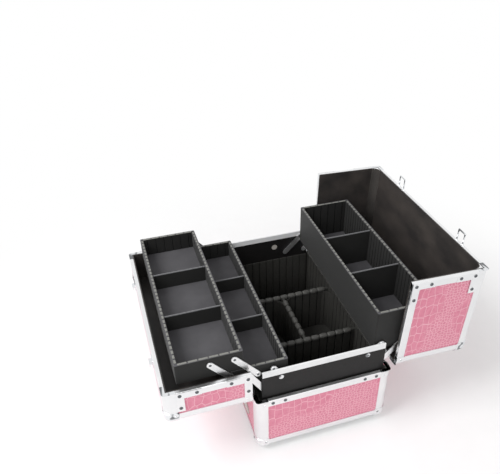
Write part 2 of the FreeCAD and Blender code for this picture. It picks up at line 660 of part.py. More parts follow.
# Latches: base with two ears, lever turning in them, wire bail, and the strike on the flap
ly = SEAM_Y + LATCH_BACK
lz = TOP + LATCH_UP
bail_y = ly + BAIL_THROW
bail_z = TOP + BAIL_UP
reach = SEAM_Y - BAIL_REACH
bases = []
strikes = []
for s in (-1, 1):
    x = s * LATCH_X
    w = SOLE_W / 2
    k = KEY_W / 2
    far = SEAM_Y + SOLE_FAR
    sole = rounded_slab(x - w, x + w, SEAM_Y + SOLE_NEAR, far, TOP, TOP + SOLE_T, SOLE_R, (0, 0, 1))
    under = box(x - k, x + k, SEAM_Y + RIM_H + KEY_IN, far - KEY_IN, TOP - LIP, TOP)
    ears = []
    for e in (-1, 1):
        a = LUG_W / 2
        b = LUG_TOP_W / 2
        ear = [(-a, 0), (a, 0), (b, LATCH_UP), ("arc", (0, LUG_H), (-b, LATCH_UP))]
        xe = x + e * LUG_X - LUG_T / 2
        ears.append(outline(ear, (xe, ly, TOP + EAR_ROOT), (0, 1, 0), (0, 0, 1)).extrude(V(LUG_T, 0, 0)))
    hole = cyl(LATCH_PIN_R + PIN_FIT, (x - w, ly, lz), (x + w, ly, lz))
    bases.append(fuse([sole, under] + ears).cut(hole))
    w = STRIKE_W / 2
    k = STRIKE_KEY_W / 2
    far = SEAM_Y - STRIKE_FAR
    plate_ = rounded_slab(x - w, x + w, far, SEAM_Y - STRIKE_NEAR, TOP, TOP + STRIKE_T, STRIKE_R, (0, 0, 1))
    under = box(x - k, x + k, far + KEY_IN, SEAM_Y - RIM_H - KEY_IN, TOP - LIP, TOP)
    foot_y0 = reach + HOOK_FOOT
    foot_y1 = foot_y0 + HOOK_WALL
    tip = reach - HOOK_LIP
    low = HOOK_H - HOOK_T
    hook = [(foot_y0, 0), (foot_y1, 0), (foot_y1, HOOK_H), (tip, HOOK_H), (tip, low), (foot_y0, low)]
    lip = outline(hook, (x - HOOK_W / 2, 0, TOP), (0, 1, 0), (0, 0, 1)).extrude(V(HOOK_W, 0, 0))
    strikes.append(fuse([plate_, under, lip]))
save("latch_bases", opened(bases, "lid"))
save("flap_strikes", opened(strikes, "flap"))

for name, s in (("left", -1), ("right", 1)):
    x = s * LATCH_X
    r = LEVER_W / 2
    end = ly + LEVER_L
    near = bail_y + LEVER_NEAR
    steps = [(x - r, near), (x + r, near), (x + r, end - r), ("arc", (x, end), (x - r, end - r))]
    top_plate = outline(steps, (0, 0, TOP + LEVER_UP), (1, 0, 0), (0, 1, 0)).extrude(V(0, 0, LEVER_T))
    pieces = [top_plate]
    for e in (-1, 1):
        xa = x + e * r
        xb = x + e * (r - LEVER_T)
        pieces.append(box(xa, xb, ly, near + LEVER_SIDE, TOP + LEVER_LOW, TOP + LEVER_UP + LEVER_LAP))
        pieces.append(cyl(LEVER_EYE_R, (xb, ly, lz), (xa, ly, lz)))
        pieces.append(cyl(LATCH_PIN_R, (xb, ly, lz), (x + e * LEVER_PIN_X, ly, lz)))
    holes = cyl(WIRE_R + PIN_FIT, (x - LEVER_W, bail_y, bail_z), (x + LEVER_W, bail_y, bail_z))
    save("latch_lever_" + name, opened([fuse(pieces).cut(holes)], "lid"))
    legs = []
    for e in (-1, 1):
        xw = x + e * BAIL_X
        legs.append(cyl(WIRE_R, (xw, bail_y, bail_z), (xw, reach, bail_z)))
        legs.append(cyl(WIRE_R, (xw - e * BAIL_LAP, bail_y, bail_z), (x + e * BAIL_END_X, bail_y, bail_z)))
        legs.append(Part.makeSphere(WIRE_R, V(xw, reach, bail_z)))
        legs.append(Part.makeSphere(WIRE_R, V(xw, bail_y, bail_z)))
    legs.append(cyl(WIRE_R, (x - BAIL_X, reach, bail_z), (x + BAIL_X, reach, bail_z)))
    save("latch_bail_" + name, opened([fuse(legs)], "lid"))
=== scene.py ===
# %% [markdown]
# A makeup train case, standing open. The CAD model gives every panel, rail, tray and joint,
# and this lesson dresses it: finishes for each material, and the small metalwork and edge
# trims that are too fine for the solids. The frame is loaded first, so that every piece
# goes where the CAD says.

# %% Load the frame
import json
import math

import bmesh
import bpy
from mathutils import Matrix, Vector


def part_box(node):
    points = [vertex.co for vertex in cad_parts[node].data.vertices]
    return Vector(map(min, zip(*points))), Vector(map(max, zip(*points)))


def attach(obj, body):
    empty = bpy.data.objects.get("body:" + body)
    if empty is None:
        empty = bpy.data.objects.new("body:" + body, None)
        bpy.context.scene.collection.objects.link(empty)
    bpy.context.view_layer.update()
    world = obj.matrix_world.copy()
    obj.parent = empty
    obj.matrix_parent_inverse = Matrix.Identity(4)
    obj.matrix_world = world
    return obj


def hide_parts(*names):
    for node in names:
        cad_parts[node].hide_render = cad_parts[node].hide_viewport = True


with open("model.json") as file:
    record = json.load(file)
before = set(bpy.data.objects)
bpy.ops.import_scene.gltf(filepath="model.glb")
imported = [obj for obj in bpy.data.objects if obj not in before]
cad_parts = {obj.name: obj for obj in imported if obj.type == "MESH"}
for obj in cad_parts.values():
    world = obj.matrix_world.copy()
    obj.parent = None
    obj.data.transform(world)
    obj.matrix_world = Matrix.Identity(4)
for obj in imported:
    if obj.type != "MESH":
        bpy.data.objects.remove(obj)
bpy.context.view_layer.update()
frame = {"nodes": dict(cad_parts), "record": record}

# %% [markdown]
# Sizes are written in millimetres, as on a drawing, and turned to metres in one place.
# The front flap and the rear lid are easiest to measure shut, so two matrices swing a
# point from the shut case to the open one, about the hinge pins.

# %% Sizes and the two swings
MM = 0.001
RIM = 120.0
TOP = 252.0
END = 184.0
HALF_DEPTH = 115.0
SEAM = -53.0
SEAM_GAP = 0.25
PIN_OUT = 120.0


def swing(y, degrees):
    """Turn about a hinge pin that lies along X at this y, at the height of the rim."""
    pin = Vector((0, y, RIM)) * MM
    turn = Matrix.Rotation(math.radians(degrees), 4, "X")
    return Matrix.Translation(pin) @ turn @ Matrix.Translation(-pin)


OPENED = {"base": Matrix(), "flap": swing(-PIN_OUT, 90.0), "lid": swing(PIN_OUT, -92.0)}
seam_corner = OPENED["lid"] @ Vector((0, SEAM * MM, TOP * MM))
print("seam corner of the lid, open:", [round(c, 4) for c in seam_corner])

# %% [markdown]
# Every finish is a node tree. One small function adds a node, sets it and links it. A few
# short ones on top of it name the steps that the finishes share: a noise, a stretched pattern,
# a ramp, a blend of two colours and a bump. Colours are written as a painter would read them
# from a chart, in sRGB hex, and turned into linear light.

# %% Node and colour helpers


def linear(hex_code):
    """sRGB hex to the linear colour that a shader socket takes."""
    parts = [int(hex_code[i:i + 2], 16) / 255 for i in (1, 3, 5)]
    return tuple(c / 12.92 if c <= 0.04045 else ((c + 0.055) / 1.055) ** 2.4 for c in parts) + (1.0,)


def add(tree, kind, inputs=None, **settings):
    """One node with its settings; inputs gives each socket a value or another node's output."""
    node = tree.nodes.new(kind)
    for key, value in settings.items():
        setattr(node, key, value)
    for key, value in (inputs or {}).items():
        if isinstance(value, bpy.types.NodeSocket):
            tree.links.new(value, node.inputs[key])
        else:
            node.inputs[key].default_value = value
    return node


def finish(name, **constants):
    """A material with its shader's constant sockets set, and the coordinates it is drawn in."""
    material = bpy.data.materials.new(name)
    material.use_nodes = True
    tree = material.node_tree
    shader = tree.nodes["Principled BSDF"]
    for socket, value in constants.items():
        shader.inputs[socket.replace("_", " ")].default_value = value
    where = add(tree, "ShaderNodeTexCoord").outputs["Object"]
    return material, tree, shader, where


def wire(tree, shader, **outputs):
    """Link each output to the shader's socket of that name."""
    for socket, output in outputs.items():
        tree.links.new(output, shader.inputs[socket.replace("_", " ")])


def noise(tree, where, size, detail):
    """Strength of a noise with features of about this size."""
    grain = add(tree, "ShaderNodeTexNoise", {"Vector": where, "Scale": 1 / size, "Detail": detail})
    return grain.outputs["Fac"]


def stretched(tree, where, sizes):
    """Coordinates counted in these three sizes, for a pattern that is longer one way."""
    counts = [1 / size for size in sizes]
    return add(tree, "ShaderNodeMapping", {"Vector": where, "Scale": counts}).outputs[0]


def ramp(tree, value, start, stop, low=0.0, high=1.0, **settings):
    """The value's rise from start to stop, as a rise from low to high."""
    limits = {"From Min": start, "From Max": stop, "To Min": low, "To Max": high}
    return add(tree, "ShaderNodeMapRange", {"Value": value, **limits}, **settings).outputs[0]


def blend(tree, share, low, high):
    """Mix of two colours, each a hex code or another node's output."""
    low, high = [linear(colour) if isinstance(colour, str) else colour for colour in (low, high)]
    return add(tree, "ShaderNodeMix", {0: share, 6: low, 7: high}, data_type="RGBA").outputs[2]


def bump(tree, height, strength, deep):
    """A normal that follows a height."""
    relief = {"Strength": strength, "Distance": deep, "Height": height}
    return add(tree, "ShaderNodeBump", relief).outputs[0]


print("pink reads as", [round(c, 3) for c in linear("#DC8497")])

# %% [markdown]
# The panels are board covered with PVC leatherette, embossed with reptile scales by a hot
# roller. Large scales lie in rows, taller than they are wide, and run out into fields of small
# round ones. Pigment is thin in the grooves, so they are paler than the scales. Each panel is
# flat, so the pattern is flat too: the panel's own normal says which two axes lie in it, and
# two Voronoi patterns on those axes give large and small scales. The distance to a cell's
# edge gives the groove, the small cells' colour the tint, and a broad noise says which field
# is which. A fine noise, stretched sideways, paints shade for creases across the scales: it
# darkens their colour and has no relief.

# %% Embossed leatherette
SCALE_WIDE = 11.0 * MM
SCALE_TALL = 18.0 * MM
PEBBLE = 5.5 * MM
FIELD = 85.0 * MM
SWAY = 30.0 * MM
SWAY_BY = (0.8, 0.8, 0.8)
CREASE = (9.0 * MM, 2.0 * MM, 1.0)
SQUARE_ON = 0.7
leatherette, tree, shader, where = finish("embossed_pvc_leatherette", Roughness=0.46, Coat_Weight=0.1,
                                          Coat_Roughness=0.3)
axes = add(tree, "ShaderNodeSeparateXYZ", {0: where})
normal = add(tree, "ShaderNodeTexCoord").outputs["Normal"]
facing = add(tree, "ShaderNodeVectorMath", {0: normal}, operation="ABSOLUTE")
facing = add(tree, "ShaderNodeSeparateXYZ", {0: facing.outputs[0]})
is_end = add(tree, "ShaderNodeMath", {0: facing.outputs["X"], 1: SQUARE_ON}, operation="GREATER_THAN")
is_flat = add(tree, "ShaderNodeMath", {0: facing.outputs["Z"], 1: SQUARE_ON}, operation="GREATER_THAN")
across = add(tree, "ShaderNodeMix", {0: is_end.outputs[0], 2: axes.outputs["X"], 3: axes.outputs["Y"]})
up = add(tree, "ShaderNodeMix", {0: is_flat.outputs[0], 2: axes.outputs["Z"], 3: axes.outputs["Y"]})
sheet = add(tree, "ShaderNodeCombineXYZ", {0: across.outputs[0], 1: up.outputs[0]}).outputs[0]
sway = add(tree, "ShaderNodeTexNoise", {"Vector": sheet, "Scale": 1 / SWAY, "Detail": 1.0})
raised = []
for wide, tall, chance, groove in ((SCALE_WIDE, SCALE_TALL, 0.42, 0.06), (PEBBLE, PEBBLE, 0.75, 0.16)):
    rows = stretched(tree, sheet, (wide, tall, 1.0))
    bent = add(tree, "ShaderNodeVectorMath", {0: sway.outputs["Color"], 1: SWAY_BY, 2: rows},
               operation="MULTIPLY_ADD")
    cells = {"Vector": bent.outputs[0], "Scale": 1.0, "Randomness": chance}
    edge = add(tree, "ShaderNodeTexVoronoi", cells, feature="DISTANCE_TO_EDGE", voronoi_dimensions="2D")
    raised.append(ramp(tree, edge.outputs["Distance"], 0.01, groove, interpolation_type="SMOOTHSTEP"))
pebble_cell = add(tree, "ShaderNodeTexVoronoi", cells, voronoi_dimensions="2D")
pebbled = ramp(tree, noise(tree, where, FIELD, detail=0.0), 0.5, 0.56)
crest = add(tree, "ShaderNodeMix", {0: pebbled, 2: raised[0], 3: raised[1]}).outputs[0]
# painted shade: a stretched noise darkens the tint where creases would be, with no relief
crease_shade = noise(tree, stretched(tree, sheet, CREASE), 1.0, detail=3.0)
tint = blend(tree, pebble_cell.outputs["Color"], "#D67A92", "#E08BA1")
crease_shaded = blend(tree, ramp(tree, crease_shade, 0.5, 0.75, high=0.45), tint, "#C9677F")
wire(tree, shader, Base_Color=blend(tree, crest, "#EFB4C1", crease_shaded),
     Normal=bump(tree, crest, strength=0.5, deep=0.5 * MM))
print("leatherette scales:", SCALE_WIDE, "by", SCALE_TALL, "m, pebbles", PEBBLE)

# %% [markdown]
# The rails are extruded aluminium, anodised to a satin grey-white. The die leaves hair lines
# and handling leaves faint smudges. The lines are drawn as slight dips, and the smudges as a
# change of tone and roughness. The hair lines of the real thing are 0.1 mm apart, and are drawn
# at 0.9 mm so that they show.

# %% Satin aluminium
HAIR = 0.9 * MM
SMUDGE = 35.0 * MM
aluminium, tree, shader, where = finish("satin_anodised_aluminium", Metallic=1.0)
hair = noise(tree, where, HAIR, detail=2.0)
smudge = noise(tree, where, SMUDGE, detail=3.0)
wire(tree, shader, Base_Color=blend(tree, smudge, "#E2E3E5", "#F4F4F4"),
     Roughness=ramp(tree, smudge, 0.3, 0.7, low=0.3, high=0.44),
     Normal=bump(tree, hair, strength=0.12, deep=0.1 * MM))
print("aluminium: hair lines", HAIR, "m")

# %% [markdown]
# Corners, hinges, latches and the handle are pressed steel with nickel and chrome plating.
# Plating mirrors the room, mostly white. A few soft dark streaks, the reflections of the
# stands and cards of a studio, are painted into the plating's colour as a stretched noise, and
# a film of fingerprints breaks the mirror. Screws are zinc plated, and grime darkens them.

# %% Chrome and screw steel
FILM = 9.0 * MM
REFLECTION_STREAK = (45.0 * MM, 9.0 * MM, 9.0 * MM)
GRIME = 2.5 * MM
chrome, tree, shader, where = finish("chrome_plated_steel", Metallic=1.0)
# painted reflection: dark streaks of the studio drawn into the plating's base colour
reflection_streak = noise(tree, stretched(tree, where, REFLECTION_STREAK), 1.0, detail=0.0)
painted_reflection = ramp(tree, reflection_streak, 0.54, 0.66, high=0.8, interpolation_type="SMOOTHSTEP")
wire(tree, shader, Base_Color=blend(tree, painted_reflection, "#E3E5E7", "#3C3F43"),
     Roughness=ramp(tree, noise(tree, where, FILM, detail=4.0), 0.35, 0.7, low=0.06, high=0.13))

screw_steel, tree, shader, where = finish("zinc_plated_screw_steel", Metallic=1.0)
grime = noise(tree, where, GRIME, detail=3.0)
wire(tree, shader, Base_Color=blend(tree, grime, "#3E4043", "#8B8E91"),
     Roughness=ramp(tree, grime, 0.0, 1.0, low=0.25, high=0.5))
print("plated metals:", chrome.name, screw_steel.name)

# %% [markdown]
# The lids are lined with smooth black EVA sheet, which has a brownish sheen at a glancing
# angle. The trays are lined with a denser charcoal foam, scored into flutes; its upward faces
# are painted greyer than its walls, as painted light falling from above.

# %% Black lining and charcoal foam
WORN = (70.0 * MM, 35.0 * MM, 35.0 * MM)
DUST = 25.0 * MM
SHEET_PORE = 1.2 * MM
FOAM_PORE = 1.0 * MM
PORE_DEEP = 0.15 * MM
lining, tree, shader, where = finish("smooth_eva_lining", Roughness=0.42, Sheen_Weight=0.3,
                                     Sheen_Roughness=0.4, Sheen_Tint=linear("#B8ADA6"))
cloud = ramp(tree, noise(tree, stretched(tree, where, WORN), 1.0, detail=4.0), 0.35, 0.7)
wire(tree, shader, Base_Color=blend(tree, cloud, "#282626", "#433E3B"),
     Normal=bump(tree, noise(tree, where, SHEET_PORE, detail=2.0), strength=0.15, deep=PORE_DEEP))

charcoal, tree, shader, where = finish("charcoal_tray_foam", Roughness=0.7, Sheen_Weight=0.1,
                                       Specular_IOR_Level=0.3)
normal = add(tree, "ShaderNodeNewGeometry").outputs["Normal"]
upward = add(tree, "ShaderNodeSeparateXYZ", {0: normal}).outputs["Z"]
cloud = noise(tree, where, DUST, detail=3.0)
foam_wall = blend(tree, cloud, "#131312", "#1D1D1C")
# painted light: faces that look up get a greyer copy of the foam, as if lit from above
painted_lit_foam_floor = blend(tree, cloud, "#464548", "#5C5B5E")
wire(tree, shader, Base_Color=blend(tree, ramp(tree, upward, 0.6, 0.95), foam_wall, painted_lit_foam_floor),
     Normal=bump(tree, noise(tree, where, FOAM_PORE, detail=2.0), strength=0.2, deep=PORE_DEEP))
print("linings:", lining.name, charcoal.name)

# %% [markdown]
# The remaining finishes are small: the base's scored foam, with a lighter copy of it for the
# padded ridges as painted highlight, and near-black sheet for painted shade in the scores; the
# cut edge of foam, which is paler than its skin; a duller lining for bends; grey beads for the
# dividers; lacquered hardboard for the support plates and the floor, with a bright folded trim;
# a bare nickel plate; rubber for the feet and ABS for the grip. Each is a pair of tones, mottled
# at the grain of its material.

# %% Cut foam, hardboard, rubber and ABS
# Each row gives the two tones, the grain in millimetres and the roughness.
SMALL = {
    "cut_foam_edge": ("#6E6E6A", "#94948F", 2.0, 0.75),
    "fluted_base_foam": ("#2C2C2A", "#444340", 4.0, 0.5),
    # painted highlight: a lighter copy of the base foam, for ridge tops that catch the light
    "padded_ridge_foam": ("#40403E", "#5A5956", 4.0, 0.42),
    "dull_bent_lining": ("#2A2827", "#3F3B38", 20.0, 0.85),
    "bright_folded_trim": ("#DCDDDF", "#EFEFEF", 20.0, 0.3),
    # painted shade: near-black sheet for the strips that stand in the scores
    "black_foam_backing": ("#050505", "#0A0A0A", 3.0, 0.9),
    "grey_divider_bead": ("#626265", "#7C7C7E", 5.0, 0.5),
    "lacquered_hardboard": ("#0E0D0D", "#1C1A1A", 6.0, 0.5),
    "bare_nickel_plate": ("#ABA69F", "#C6C1BA", 8.0, 0.25),
    "moulded_rubber": ("#111111", "#1F1E1E", 3.0, 0.82),
    "moulded_black_abs": ("#0F0F10", "#1C1C1D", 4.0, 0.34),
}
small = {}
for name, (low, high, grain, rough) in SMALL.items():
    small[name], tree, shader, where = finish(name, Roughness=rough, Specular_IOR_Level=0.3)
    mottle = noise(tree, where, grain * MM, detail=3.0)
    wire(tree, shader, Base_Color=blend(tree, mottle, low, high),
         Normal=bump(tree, mottle, strength=0.18, deep=0.12 * MM))
base_foam = small["fluted_base_foam"]
print("small finishes:", sorted(small))

# %% [markdown]
# Each CAD node names a material slot in the record. The finish for that slot goes straight
# onto the node, whose shape is kept. A few nodes have a finish of their own: the base's foam
# is greyer than the lids' lining, and the corner plates are anodised like the rails.

# %% Dress the CAD nodes
FINISHES = {
    "embossed_leatherette": leatherette,
    "black_lining": lining,
    "charcoal_tray": charcoal,
    "satin_aluminium": aluminium,
    "chrome": chrome,
    "black_plate": small["lacquered_hardboard"],
    "rubber": small["moulded_rubber"],
    "black_grip": small["moulded_black_abs"],
}
OWN_FINISH = {
    "base_lining": base_foam,
    "base_dividers_cross": base_foam,
    "base_divider_long": base_foam,
    "flap_corner_plates": aluminium,
    "lid_corner_plates": aluminium,
    "base_rim_corners": aluminium,
}
for part in frame["record"]["subparts"]:
    for holder in frame["nodes"][part["node"]].material_slots:
        holder.material = OWN_FINISH.get(part["node"], FINISHES[part["material_slot"]])

# %% [markdown]
# New pieces are built in place, in the case's own frame, so their objects stay at the origin.
# Most of them are rings of points joined by bands of faces: a lathe stacks round rings along
# an axis, and a prism closes two like outlines. One function turns a finished mesh into a
# piece that rides on a body.

# %% Build a closed mesh and make it ride


def keep(work, name):
    """Turn a working mesh's faces outwards and keep it as a plain mesh."""
    bmesh.ops.recalc_face_normals(work, faces=work.faces)
    mesh = bpy.data.meshes.new(name)
    work.to_mesh(mesh)
    work.free()
    return mesh


def to_piece(name, mesh, body, slot, *materials):
    """Put a finished mesh in the scene as a piece of this body, with its finishes; the slot is not used."""
    for material in materials:
        if material.name not in mesh.materials:
            mesh.materials.append(material)
    made = bpy.data.objects.new(name, mesh)
    bpy.context.scene.collection.objects.link(made)
    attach(made, body)
    print(name, "on", body, len(mesh.polygons), "faces")
    return made


def sweep(degrees, steps):
    """Equal turns from nought to this angle, both included, in radians."""
    return [math.radians(degrees) * i / steps for i in range(steps + 1)]


def ring(work, radius, height, count, squash=1.0):
    """Points round the Z axis, in millimetres; squash makes an oval of the circle."""
    turns = [2 * math.pi * i / count for i in range(count)]
    return [work.verts.new(Vector((radius * math.cos(t), squash * radius * math.sin(t), height)) * MM)
            for t in turns]


def band(work, low, high):
    """Faces between two rings, of which one may be a single point."""
    count = max(len(low), len(high))
    faces = []
    for i in range(count):
        j = (i + 1) % count
        corners = (low[i % len(low)], low[j % len(low)], high[j % len(high)], high[i % len(high)])
        faces.append(work.faces.new(list(dict.fromkeys(corners))))
    return faces


def prism(work, first, last):
    """Closed body between two like outlines of points; gives back the faces of its sides."""
    outlines = [[work.verts.new(Vector(point) * MM) for point in outline] for outline in (first, last)]
    sides = band(work, *outlines)
    work.faces.new(outlines[0])
    work.faces.new(outlines[1][::-1])
    return sides


def lathe(profile, name, segments, squash=1.0):
    """Closed round body from (radius, height) pairs in millimetres, first and last on the axis."""
    work = bmesh.new()
    rings = [ring(work, radius, height, segments if radius else 1, squash) for radius, height in profile]
    for low, high in zip(rings, rings[1:]):
        band(work, low, high)
    return keep(work, name)


def pattern(mesh):
    """An object that stays out of the scene, for a tree to copy."""
    return bpy.data.objects.new(mesh.name, mesh)


print("mesh helpers ready")

# %% [markdown]
# Screws and rivets hold the corner plates, the ball corners and the hinges. They are all
# alike and all stand square to a face, so Geometry Nodes set one head on each point, turned
# along that point's own direction, with the slots left at chance angles as a fitter leaves
# them. The seed is fixed, so the angles are the same each time.

# %% A cross-slot screw head and a rivet head
DOME = [(0, 0), (3.4, 0), (3.4, 0.25), (2.7, 0.85), (1.4, 1.15), (0, 1.2)]
SCREW_SIDE = [(3.4, 0.0), (3.4, 0.3), (2.9, 0.9)]
SCREW_AROUND = 16
SLOT_REACH, SLOT_WAIST = 1.9, 0.75
SLOT_TOP, SLOT_FLOOR = 1.05, 0.3
SLOT_TAPER = 0.8
rivet_head = pattern(lathe(DOME, "rivet_head", segments=14))

work = bmesh.new()
rings = [ring(work, radius, height, SCREW_AROUND) for radius, height in SCREW_SIDE]
cross = []
for i in range(SCREW_AROUND):
    reach = SLOT_REACH if i % 4 == 0 else SLOT_WAIST
    turn = 2 * math.pi * i / SCREW_AROUND
    cross.append(work.verts.new(Vector((reach * math.cos(turn), reach * math.sin(turn), SLOT_TOP)) * MM))
pit = [work.verts.new((v.co.x * SLOT_TAPER, v.co.y * SLOT_TAPER, SLOT_FLOOR * MM)) for v in cross]
rings += [cross, pit]
for low, high in zip(rings, rings[1:]):
    band(work, low, high)
work.faces.new(pit)
work.faces.new(rings[0][::-1])
cross_head = pattern(keep(work, "cross_slot_head"))
print("heads:", len(rivet_head.data.polygons), "and", len(cross_head.data.polygons), "faces")

# %% The tree that sets heads on points
SPIN_SEED = 7
heads_tree = bpy.data.node_groups.new("set_heads_on_points", "GeometryNodeTree")
sockets = heads_tree.interface
sockets.new_socket("Points", in_out="INPUT", socket_type="NodeSocketGeometry")
head_in = sockets.new_socket("Head", in_out="INPUT", socket_type="NodeSocketObject")
size_in = sockets.new_socket("Size", in_out="INPUT", socket_type="NodeSocketFloat")
metal_in = sockets.new_socket("Finish", in_out="INPUT", socket_type="NodeSocketMaterial")
sockets.new_socket("Heads", in_out="OUTPUT", socket_type="NodeSocketGeometry")
given = add(heads_tree, "NodeGroupInput")
shape = add(heads_tree, "GeometryNodeObjectInfo", {"Object": given.outputs["Head"], "As Instance": True})
aim = add(heads_tree, "GeometryNodeInputNamedAttribute", {"Name": "aim"}, data_type="FLOAT_VECTOR")
square = add(heads_tree, "FunctionNodeAlignRotationToVector", {"Vector": aim.outputs["Attribute"]},
             axis="Z")
chance = add(heads_tree, "FunctionNodeRandomValue", {2: 0.0, 3: 2 * math.pi, "Seed": SPIN_SEED},
             data_type="FLOAT")
spin = add(heads_tree, "FunctionNodeAxisAngleToRotation", {"Axis": (0, 0, 1), "Angle": chance.outputs[1]})
turned = add(heads_tree, "FunctionNodeRotateRotation", {0: square.outputs[0], 1: spin.outputs[0]},
             rotation_space="LOCAL")
placed = add(heads_tree, "GeometryNodeInstanceOnPoints", {
    "Points": given.outputs["Points"], "Instance": shape.outputs["Geometry"],
    "Rotation": turned.outputs[0], "Scale": given.outputs["Size"]})
real = add(heads_tree, "GeometryNodeRealizeInstances", {0: placed.outputs[0]})
coat = add(heads_tree, "GeometryNodeSetMaterial", {
    "Geometry": real.outputs[0], "Material": given.outputs["Finish"]})
add(heads_tree, "NodeGroupOutput", {0: coat.outputs[0]})


def grown(name, base_mesh, tree, values):
    """Run a tree on a mesh with these input values and keep the result as a plain mesh."""
    host = bpy.data.objects.new(name + "_host", base_mesh)
    bpy.context.scene.collection.objects.link(host)
    grow = host.modifiers.new("grow", "NODES")
    grow.node_group = tree
    for socket, value in values.items():
        grow[socket.identifier] = value
    ready = host.evaluated_get(bpy.context.evaluated_depsgraph_get())
    mesh = bpy.data.meshes.new_from_object(ready)
    host.modifiers.remove(grow)
    bpy.data.objects.remove(host)
    mesh.name = name
    return mesh


def set_heads(name, body, spots, head, size, metal):
    """A piece of heads, one at each (place, direction) pair; the tree reads the direction as aim."""
    points = bpy.data.meshes.new(name + "_points")
    points.from_pydata([place for place, _ in spots], [], [])
    points.attributes.new("aim", "FLOAT_VECTOR", "POINT").data.foreach_set(
        "vector", [c for _, way in spots for c in way])
    mesh = grown(name, points, heads_tree, {head_in: head, size_in: size, metal_in: metal})
    return to_piece(name, mesh, body, "chrome", metal)


print("tree:", heads_tree.name, len(heads_tree.nodes), "nodes")

# %% [markdown]
# The places come from the drawing. Each mitre plate has three screws, each ball corner a
# rivet on each of its three faces, each rim corner a rivet on both faces, each end rim four
# screws, and each hinge leaf four rivets and a screw in its tail. The planes of the ball
# corners and the rim corners are read from their CAD boxes.

# %% Where the screws and rivets go
PLATE_FACE = 185.0
MITRE_SCREWS = ((6, 126.3), (31, 126.3), (6, 151.3), (6, 227.0), (31, 227.0), (6, 202.0))
BASE_FOOT = 8.0
CAP_IN = 15.0
RIM_IN = 13.5
RIM_OFF = 7.5
END_SCREWS_Y, END_SCREWS_Z = (-88, -68, 68, 88), 113.5
LEAF_FACE = 116.5
HINGE_X = 138.0
LEAF_RIVETS = ((-8, 13.0), (8, 13.0), (-8, 19.5), (8, 19.5))
LEAF_TAIL = 25.5
# The four long sides: the body, front or rear, and below or above the rim.
LONG_SIDES = (("base", -1, -1), ("base", 1, -1), ("flap", -1, 1), ("lid", 1, 1))
cap_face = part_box("base_bottom_corners")[1][0] / MM
rim_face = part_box("base_rim_corners")[1][0] / MM
cap_proud = cap_face - END
rim_proud = rim_face - END
screws = {"base": [], "flap": [], "lid": []}
rivets = {"base": [], "flap": [], "lid": []}


def note(spots, body, place, way):
    """Keep a place, given in millimetres on the shut case, where it lies on the open one."""
    swung = OPENED[body]
    spots[body].append((swung @ (Vector(place) * MM), swung.to_3x3() @ Vector(way)))


for sx in (-1, 1):
    for body, sy in (("flap", -1), ("lid", 1)):
        for y, z in MITRE_SCREWS:
            note(screws, body, (sx * PLATE_FACE, SEAM + sy * (SEAM_GAP + y), z), (sx, 0, 0))
    for body, sy, up in LONG_SIDES:
        y = sy * HALF_DEPTH
        z = TOP if up > 0 else BASE_FOOT
        note(rivets, body, (sx * cap_face, y - sy * CAP_IN, z - up * CAP_IN), (sx, 0, 0))
        note(rivets, body, (sx * (END - CAP_IN), y + sy * cap_proud, z - up * CAP_IN), (0, sy, 0))
        note(rivets, body, (sx * (END - CAP_IN), y - sy * CAP_IN, z + up * cap_proud), (0, 0, up))
    for body, sy, up in LONG_SIDES:
        y = sy * HALF_DEPTH
        z = RIM + up * RIM_OFF
        note(rivets, body, (sx * rim_face, y - sy * RIM_IN, z), (sx, 0, 0))
        note(rivets, body, (sx * (END - RIM_IN), y + sy * rim_proud, z), (0, sy, 0))
    for y in END_SCREWS_Y:
        note(screws, "base", (sx * END, y, END_SCREWS_Z), (sx, 0, 0))
    for body, sy, up in LONG_SIDES:
        for dx, dz in LEAF_RIVETS:
            note(rivets, body, (sx * HINGE_X + dx, sy * LEAF_FACE, RIM + up * dz), (0, sy, 0))
        note(screws, body, (sx * HINGE_X, sy * LEAF_FACE, RIM + up * LEAF_TAIL), (0, sy, 0))
print("screws:", {k: len(v) for k, v in screws.items()}, "rivets:", {k: len(v) for k, v in rivets.items()})

# %% Set the heads
SCREW_SIZE = 0.85
RIVET_SIZE = 0.62
FULL_SIZE = 1.0
for body in screws:
    set_heads(body + "_screws", body, screws[body], cross_head, SCREW_SIZE, screw_steel)
    set_heads(body + "_rivets", body, rivets[body], rivet_head, RIVET_SIZE, chrome)

# %% [markdown]
# The foam walls are scored into flutes, with a pale cut edge on top that a notch breaks at
# every flute, and thin black strips in the scores as painted shade. All of these are blocks in a
# row along a wall, so one tree serves them: it turns the wall's line into evenly spaced points
# and sets a block on each, along the wall.

# %% The tree that follows a wall
# The step is set a little short, so that rounding never drops the last block of a row.
STEP_TRIM = 0.999
edge_tree = bpy.data.node_groups.new("blocks_along_walls", "GeometryNodeTree")
sockets = edge_tree.interface
sockets.new_socket("Walls", in_out="INPUT", socket_type="NodeSocketGeometry")
block_in = sockets.new_socket("Block", in_out="INPUT", socket_type="NodeSocketObject")
pitch_in = sockets.new_socket("Pitch", in_out="INPUT", socket_type="NodeSocketFloat")
foam_in = sockets.new_socket("Finish", in_out="INPUT", socket_type="NodeSocketMaterial")
sockets.new_socket("Edge", in_out="OUTPUT", socket_type="NodeSocketGeometry")
given = add(edge_tree, "NodeGroupInput")
line = add(edge_tree, "GeometryNodeMeshToCurve", {0: given.outputs["Walls"]})
spaced = add(edge_tree, "GeometryNodeResampleCurve", {
    "Curve": line.outputs[0], "Length": given.outputs["Pitch"]}, mode="LENGTH")
along = add(edge_tree, "GeometryNodeInputTangent")
turned = add(edge_tree, "FunctionNodeAlignRotationToVector", {"Vector": along.outputs[0]}, axis="X")
shape = add(edge_tree, "GeometryNodeObjectInfo", {"Object": given.outputs["Block"], "As Instance": True})
placed = add(edge_tree, "GeometryNodeInstanceOnPoints", {
    "Points": spaced.outputs[0], "Instance": shape.outputs["Geometry"], "Rotation": turned.outputs[0]})
